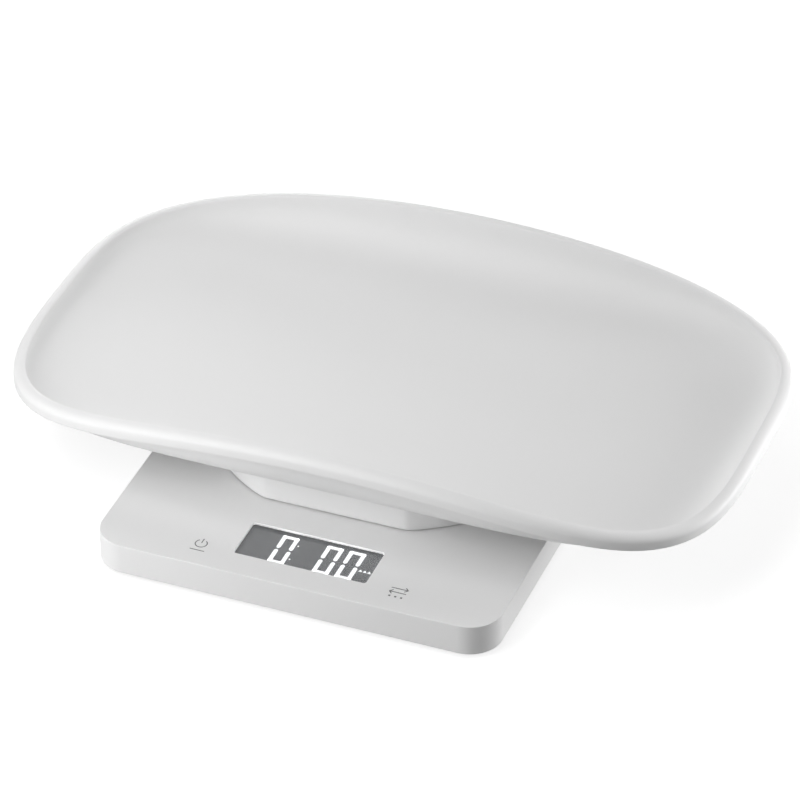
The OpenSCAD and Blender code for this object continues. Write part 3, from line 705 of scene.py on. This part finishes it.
ROUNDINGS = [
    # height, on the outer wall, radius, segments
    (BASE_TOP, True, TOP_EDGE_R, 5),
    (BASE_BOTTOM, True, LOWER_EDGE_R, 2),
    (BASE_TOP, False, OPENING_EDGE_R, 2),
]
cover = joined_copy("top_cover")
for height, outside, radius, segments in ROUNDINGS:
    chosen = sharp_edges(cover, lambda a, b: at_height(a, b, height)
                         and (on_outer_wall(a) and on_outer_wall(b)) == outside)
    soften(cover, chosen, radius * MM, segments)
shell = finish_piece("base_top_shell", cover, "base", cover_plastic, ["top_cover"],
                     even_flats=True)
# The opening's walls take the painted glow: brightness painted on them in place of light.
shell.data.materials.append(window_wall_painted_glow)
for face in shell.data.polygons:
    middle = face.center / MM
    in_opening = lens_low.x < middle.x < lens_high.x and lens_low.y < middle.y < lens_high.y
    if in_opening and lens_high.z < middle.z < BASE_TOP - HAIR:
        face.material_index = 1

# %% [markdown]
# The platform is seen only when the tray is lifted away. Its upper edge gets a small radius too, by the same
# helpers.

# %% The platform with a rounded edge
PLATE_EDGE_R = 0.8
PLATE_EDGE_FROM = 70.0


def from_centre(p):
    """Distance in plan from the middle of the platform."""
    return Vector((p.x, p.y - RING_CENTRE_Y)).length


plate = joined_copy("platform")
plate_edge = sharp_edges(plate, lambda a, b: at_height(a, b, platform_high.z)
                         and max(from_centre(a), from_centre(b)) > PLATE_EDGE_FROM)
soften(plate, plate_edge, PLATE_EDGE_R * MM)
finish_piece("weighing_platform", plate, "platform", cover_plastic, ["platform"],
             even_flats=True)

# %% [markdown]
# ## The display
#
# The digits on the glass are bars with cut ends, seven to a digit. A zero lights the six around the outside.
# Each bar is a thin box whose ends are bevelled to a point, and they lie on the glass under the window. Two
# round dots and three small triangles beside them are discs with many sides or with three.

# %% Lit digits
DIGIT_W = 9.1
DIGIT_H = 23.6
BAR_W = 2.25
BAR_T = 0.08
BAR_GAP = 1.2
DIGIT_MIDDLE = FRONT_Y + 30.6
DIGIT_XS = (-14.5, 10.0, 22.3)
POINTED = 0.45
DOT_R = 0.45
DOT_SIDES = 16
DOT_X = -8.6
DOT_YS = (DIGIT_MIDDLE + 5.6, DIGIT_MIDDLE - 6.2)
TRIANGLE_R = 1.2
TRIANGLE_X = 28.8
TRIANGLE_STEP = 2.4
TRIANGLE_Y = FRONT_Y + 28.2
LIT_Z = GLASS_TOP + BAR_T / 2


def lit_bar(bm, centre, length, upright):
    """One bar of a digit, with pointed ends."""
    size = (BAR_W, length, BAR_T) if upright else (length, BAR_W, BAR_T)
    made = block(bm, centre, size)
    corners = edges_of(made, lambda e: abs(e.verts[0].co.z - e.verts[1].co.z) > BAR_T / 2)
    soften(bm, corners, BAR_W * POINTED, 2)


def lit_zero(bm, x):
    """The six outer bars of a seven-segment digit."""
    side = DIGIT_W / 2 - BAR_W / 2
    bar = DIGIT_H / 2 - BAR_GAP / 2
    for way in (-1, 1):
        lit_bar(bm, (x, DIGIT_MIDDLE + way * (DIGIT_H / 2 - BAR_W / 2), LIT_Z), DIGIT_W, False)
        for flank in (-1, 1):
            lit_bar(bm, (x + flank * side, DIGIT_MIDDLE + way * (BAR_GAP / 2 + bar / 2), LIT_Z), bar, True)


def lit_disc(bm, x, y, radius, sides):
    """A thin disc on the glass, or a triangle when it has three sides."""
    disc = bmesh.ops.create_cone(bm, cap_ends=True, segments=sides, radius1=radius, radius2=radius,
                                 depth=BAR_T)
    bmesh.ops.translate(bm, vec=(x, y, LIT_Z), verts=disc["verts"])


digits = bmesh.new()
for x in DIGIT_XS:
    lit_zero(digits, x)
for y in DOT_YS:
    lit_disc(digits, DOT_X, y, DOT_R, DOT_SIDES)
for step in range(3):
    lit_disc(digits, TRIANGLE_X + TRIANGLE_STEP * step, TRIANGLE_Y, TRIANGLE_R, 3)
finish_piece("display_digits", in_metres(digits), "base", segment_light)

# %% [markdown]
# ## Printed key marks
#
# The two touch keys are flush with the cover, and only a small print shows where they are. The marks here are
# plain signs: a ring with a stroke for power, and a pair of arrows for changing the unit. Each is a film of ink
# a few hundredths of a millimetre thick, cut from rings and bars, and set a hair into the cover.

# %% Rings, bars and arrows of ink
INK_T = 0.03
INK_W = 0.55
INK_SINK = 0.01
INK_Z = BASE_TOP + INK_T / 2 - INK_SINK
INK_RING_STEPS = 40
BARB_L = 2.4
BARB_BACK = 0.8
BARB_TURN = 45


def ink_ring(bm, centre, radius, opening, facing):
    """A ring of ink swept by a spin, with a gap of some degrees that faces one way."""
    before = set(bm.verts)
    half_w, half_t = INK_W / 2, INK_T / 2
    section = bm.faces.new([bm.verts.new((radius + across * half_w, 0, up * half_t))
                            for across, up in ((-1, -1), (1, -1), (1, 1), (-1, 1))])
    bmesh.ops.spin(bm, geom=[section], cent=(0, 0, 0), axis=(0, 0, 1), angle=math.radians(360 - opening),
                   steps=INK_RING_STEPS, use_duplicate=False)
    made = [vert for vert in bm.verts if vert not in before]
    turn = Matrix.Rotation(math.radians(facing + opening / 2), 4, "Z")
    bmesh.ops.transform(bm, matrix=Matrix.Translation(centre) @ turn, verts=made)


def ink_bar(bm, centre, length, angle=0.0, width=INK_W):
    """A straight stroke of ink."""
    made = block(bm, (0, 0, 0), (length, width, INK_T))
    turn = Matrix.Rotation(math.radians(angle), 4, "Z")
    bmesh.ops.transform(bm, matrix=Matrix.Translation(centre) @ turn, verts=made)


def ink_arrow(bm, centre, length, way):
    """A stroke with a head at one end."""
    ink_bar(bm, centre, length)
    tip = Vector(centre) + Vector((way * length / 2, 0, 0))
    for side in (-1, 1):
        barb = tip + Vector((-way * BARB_BACK, side * BARB_BACK, 0))
        ink_bar(bm, barb, BARB_L, -way * side * BARB_TURN)


# %% Draw the two signs
UPRIGHT = 90
KEY_X = 54.4
KEY_Y = FRONT_Y + 15.5
LOW_Y = KEY_Y - 4.2
POWER_R = 3.1
POWER_OPENING = 70
POWER_Y = KEY_Y + 1.6
STROKE_L = 3.6
STROKE_Y = KEY_Y + 3.9
UNDERLINE_L = 8.0
ARROW_L = 9.0
ARROW_YS = {1: KEY_Y + 2.6, -1: KEY_Y - 0.6}  # by the way that the arrow points
SQUARE_W = 1.1
SQUARE_STEP = 3.2

marks = bmesh.new()
ink_ring(marks, (-KEY_X, POWER_Y, INK_Z), POWER_R, POWER_OPENING, UPRIGHT)
ink_bar(marks, (-KEY_X, STROKE_Y, INK_Z), STROKE_L, UPRIGHT)
ink_bar(marks, (-KEY_X, LOW_Y, INK_Z), UNDERLINE_L)
for way, y in ARROW_YS.items():
    ink_arrow(marks, (KEY_X, y, INK_Z), ARROW_L, way)
for step in (-1, 0, 1):
    ink_bar(marks, (KEY_X + SQUARE_STEP * step, LOW_Y, INK_Z), SQUARE_W, 0, SQUARE_W)
bmesh.ops.recalc_face_normals(marks, faces=marks.faces)
finish_piece("key_marks", in_metres(marks), "base", key_ink)

# %% [markdown]
# ## Pieces that keep their engineering form
#
# Most other pieces are inside or underneath, and their shapes are already right. Each gets the finish that
# its real counterpart has. The beam with its gauges and the dry cells follow in steps of their own.

# %% Give each remaining piece its finish
FINISHES = {
    underside_plastic: ["bottom_cover", "battery_door"],
    foot_rubber: ["foot_front_left", "foot_front_right", "foot_back_left", "foot_back_right"],
    clear_window: ["display_window"],
    lcd_grey: ["lcd_panel"],
    milky_plastic: ["lcd_backlight"],
    cover_plastic: ["lcd_frame"],
    strip_rubber: ["contact_strips"],
    board_mask: ["circuit_board"],
    potting: ["controller_chip"],
    component_case: ["board_components"],
    plug_nylon: ["wire_plugs"],
    nickel_wire: ["touch_spring_left", "touch_spring_right", "battery_springs"],
    wire_sheath: ["load_cell_wires", "battery_wires"],
    zinc_plate: ["housing_screws", "board_screws", "base_plate", "base_plate_screws", "fixed_end_spacer",
                 "fixed_end_screws", "overload_stop", "load_end_spacer", "load_end_screws", "load_spider",
                 "platform_screws", "battery_contacts"],
}


def paint(node, material):
    """Gives an engineering piece one material."""
    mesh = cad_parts[node].data
    mesh.materials.clear()
    mesh.materials.append(material)


for material, nodes in FINISHES.items():
    for node in nodes:
        paint(node, material)
print("painted", sum(len(nodes) for nodes in FINISHES.values()), "engineering pieces")

# %% [markdown]
# The load cell's beam is bolted to the base at one end and carries the platform at the other, so it bends in a
# flat S between its two round holes. The gauges and their sealant are glued on it and bend with it. Each is a
# copy of the engineering shape, cut across at a few places so that it has points to bend at.

# %% The beam and what is glued on it
BEND_HALF = 12.0
CUTS = 6
beam_y = RING_CENTRE_Y * MM
BENDS = ("platform", (-BEND_HALF * MM, beam_y, 0), (BEND_HALF * MM, beam_y, 0))


def bending_copy(node, material):
    """A copy of a node with cuts across the bending length."""
    bm = bmesh.new()
    bm.from_mesh(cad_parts[node].data)
    bmesh.ops.remove_doubles(bm, verts=bm.verts, dist=WELD)
    for step in range(CUTS + 1):
        x = (2 * step / CUTS - 1) * BEND_HALF * MM
        geometry = bm.verts[:] + bm.edges[:] + bm.faces[:]
        bmesh.ops.bisect_plane(bm, geom=geometry, plane_co=(x, 0, 0), plane_no=(1, 0, 0))
    finish_piece(f"bending_{node}", bm, "base", material, [node], even_flats=True, bends=BENDS)


bending_copy("load_cell", milled_aluminium)
bending_copy("strain_gauges", gauge_film)
bending_copy("gauge_sealant", silicone)

# %% [markdown]
# A dry cell has a dark jacket with a copper-coloured band at the end where its nub is. The place along Y tells
# the two apart, and neighbouring cells point opposite ways.

# %% Cells with a banded jacket
JACKET = (0.05, 0.07, 0.12)
BAND = (0.55, 0.36, 0.16)
BAND_L = 13.0


def cell_material(name, front, rear, nub_at_back):
    """A dark jacket with a copper band at the nub's end."""
    material = coated_material(name, JACKET, bump=0.05, grain_scale=900.0, roughness=0.28)
    nodes, links = material.node_tree.nodes, material.node_tree.links
    principled = nodes["Principled BSDF"]
    place = nodes["Texture Coordinate"]
    split = nodes.new("ShaderNodeSeparateXYZ")
    links.new(place.outputs["Object"], split.inputs[0])
    edge = (rear - BAND_L if nub_at_back else front + BAND_L) * MM
    compare = "GREATER_THAN" if nub_at_back else "LESS_THAN"
    mask = math_node(nodes, links, compare, split.outputs["Y"], edge)
    mix = nodes.new("ShaderNodeMix")
    mix.data_type = "RGBA"
    links.new(mask, mix.inputs["Factor"])
    group = next(node for node in nodes if node.type == "GROUP")
    links.new(group.outputs["Colour"], mix.inputs[6])
    mix.inputs[7].default_value = (*BAND, 1)
    links.new(mix.outputs[2], principled.inputs["Base Color"])
    links.new(mask, principled.inputs["Metallic"])
    return material


for number in range(1, 5):
    low, high = span(f"battery_{number}")
    paint(f"battery_{number}", cell_material(f"cell_{number}", low.y, high.y, number % 2 == 0))
print("cells banded")

# %% [markdown]
# ## Camera
#
# The camera stands to the right, a little over a third of the way up, and far off with a long lens, which keeps
# the edges nearly parallel, as in a catalogue picture.

# %% Camera
AZIMUTH = math.radians(21.197)
ELEVATION = math.radians(35.314)
TARGET = Vector((-14.28, 52.11, 2.2)) * MM
DISTANCE = 2694.1 * MM
back = Vector((math.sin(AZIMUTH) * math.cos(ELEVATION), -math.cos(AZIMUTH) * math.cos(ELEVATION),
               math.sin(ELEVATION)))
camera_data = bpy.data.cameras.new("camera")
camera_data.lens = 225
camera_data.sensor_width = 36
camera_data.clip_start = 0.05
camera = bpy.data.objects.new("camera", camera_data)
camera.location = TARGET + back * DISTANCE
camera.rotation_euler = (-back).to_track_quat("-Z", "Y").to_euler()
bpy.context.scene.collection.objects.link(camera)
bpy.context.scene.camera = camera
print(f"camera {DISTANCE:.2f} m away, lens {camera_data.lens:.0f} mm")

# %% [markdown]
# ## Light and floor
#
# A white object on a white ground needs light that varies with direction, or its form disappears. The strongest
# soft box stands low behind the right side, weaker ones stand round the other sides, most of them high, and
# small ones fill in from the front. Upright faces turned to the camera go grey, and the ones turned away stay
# bright. The lamps are kept weak enough that the object still shows its form when it is seen from behind.

# %% Soft boxes
LIGHTS = {
    # name: (azimuth, elevation, distance in metres, size in metres, watts)
    "right_back": (120, 8, 1.2, 0.6, 10.3),
    "right_side": (100, 12, 0.6, 0.35, 0.8),
    "left_back": (-145, 8, 1.2, 0.6, 4.6),
    "back_high": (-150, 45, 1.2, 0.6, 2.6),
    "left_high": (-60, 70, 1.3, 0.7, 4.2),
    "front_high": (-32, 45, 1.2, 0.6, 4.8),
    "front_left": (-40, 12, 0.6, 0.35, 0.7),
    "front_low": (-20, 12, 0.6, 0.35, 0.85),
}
AIM = Vector((0, 0, 0.03))


def soft_box(name, azimuth, elevation, distance, size, power):
    """A square area lamp aimed at the object. Azimuth 0 is in front and 90 is on the right."""
    data = bpy.data.lights.new(name, "AREA")
    data.shape = "SQUARE"
    data.size = size
    data.energy = power
    lamp = bpy.data.objects.new(name, data)
    a, e = math.radians(azimuth), math.radians(elevation)
    towards = Vector((math.sin(a) * math.cos(e), -math.cos(a) * math.cos(e), math.sin(e)))
    lamp.location = AIM + towards * distance
    lamp.rotation_euler = (-towards).to_track_quat("-Z", "Y").to_euler()
    bpy.context.scene.collection.objects.link(lamp)


for name, values in LIGHTS.items():
    soft_box(name, *values)
WORLD_STRENGTH = 0.03
world = bpy.data.worlds.new("studio")
world.use_nodes = True
bpy.context.scene.world = world
print(len(LIGHTS), "soft boxes")

# %% [markdown]
# The world behind the object lights it only a little, but it is white to the camera and through clear pieces.
# The floor's own colour is a middle grey, which keeps the object's shadow and throws little light up at it. It
# also glows, but only for rays from the camera, from a gloss or through a clear piece. So it looks white, also
# when it is mirrored, and doesn't brighten the matt faces above it.

# %% The world and the floor
def ray_mask(nodes, links, *kinds):
    """One where a ray is of one of these kinds, and nought elsewhere."""
    path = nodes.new("ShaderNodeLightPath")
    mask = path.outputs[kinds[0]]
    for kind in kinds[1:]:
        mask = math_node(nodes, links, "MAXIMUM", mask, path.outputs[kind])
    return mask


sky_nodes, sky_links = world.node_tree.nodes, world.node_tree.links
sky = sky_nodes["Background"]
sky.inputs["Color"].default_value = (1, 1, 1, 1)
seen = ray_mask(sky_nodes, sky_links, "Is Camera Ray", "Is Transmission Ray")
sky_links.new(math_node(sky_nodes, sky_links, "MULTIPLY_ADD", seen, 1 - WORLD_STRENGTH, WORLD_STRENGTH),
              sky.inputs["Strength"])

FLOOR_SIZE = 12.0
FLOOR_GREY = (0.35, 0.35, 0.35)
FLOOR_GLOW = 0.78
floor_paint = coated_material("floor_paint", FLOOR_GREY, grain_scale=30.0, drift_scale=3.0,
                              tint_spread=0.01, roughness=0.9, shader={"Specular IOR Level": 0.0})
nodes, links = floor_paint.node_tree.nodes, floor_paint.node_tree.links
seen = ray_mask(nodes, links, "Is Camera Ray", "Is Glossy Ray", "Is Transmission Ray")
glow = nodes.new("ShaderNodeEmission")
links.new(math_node(nodes, links, "MULTIPLY", seen, FLOOR_GLOW), glow.inputs["Strength"])
both = nodes.new("ShaderNodeAddShader")
links.new(nodes["Principled BSDF"].outputs[0], both.inputs[0])
links.new(glow.outputs[0], both.inputs[1])
links.new(both.outputs[0], nodes["Material Output"].inputs["Surface"])
floor_mesh = bpy.data.meshes.new("floor")
ground = bmesh.new()
bmesh.ops.create_grid(ground, x_segments=2, y_segments=2, size=FLOOR_SIZE / 2)
ground.to_mesh(floor_mesh)
ground.free()
floor_mesh.materials.append(floor_paint)
floor = bpy.data.objects.new("floor", floor_mesh)
bpy.context.scene.collection.objects.link(floor)
bpy.context.scene.view_settings.view_transform = "Standard"
print("floor and world ready")

# %% [markdown]
# ## End
#
# The dressed scene is complete. The looks may not grow the object.

# %% Finish
print("scene dressed")
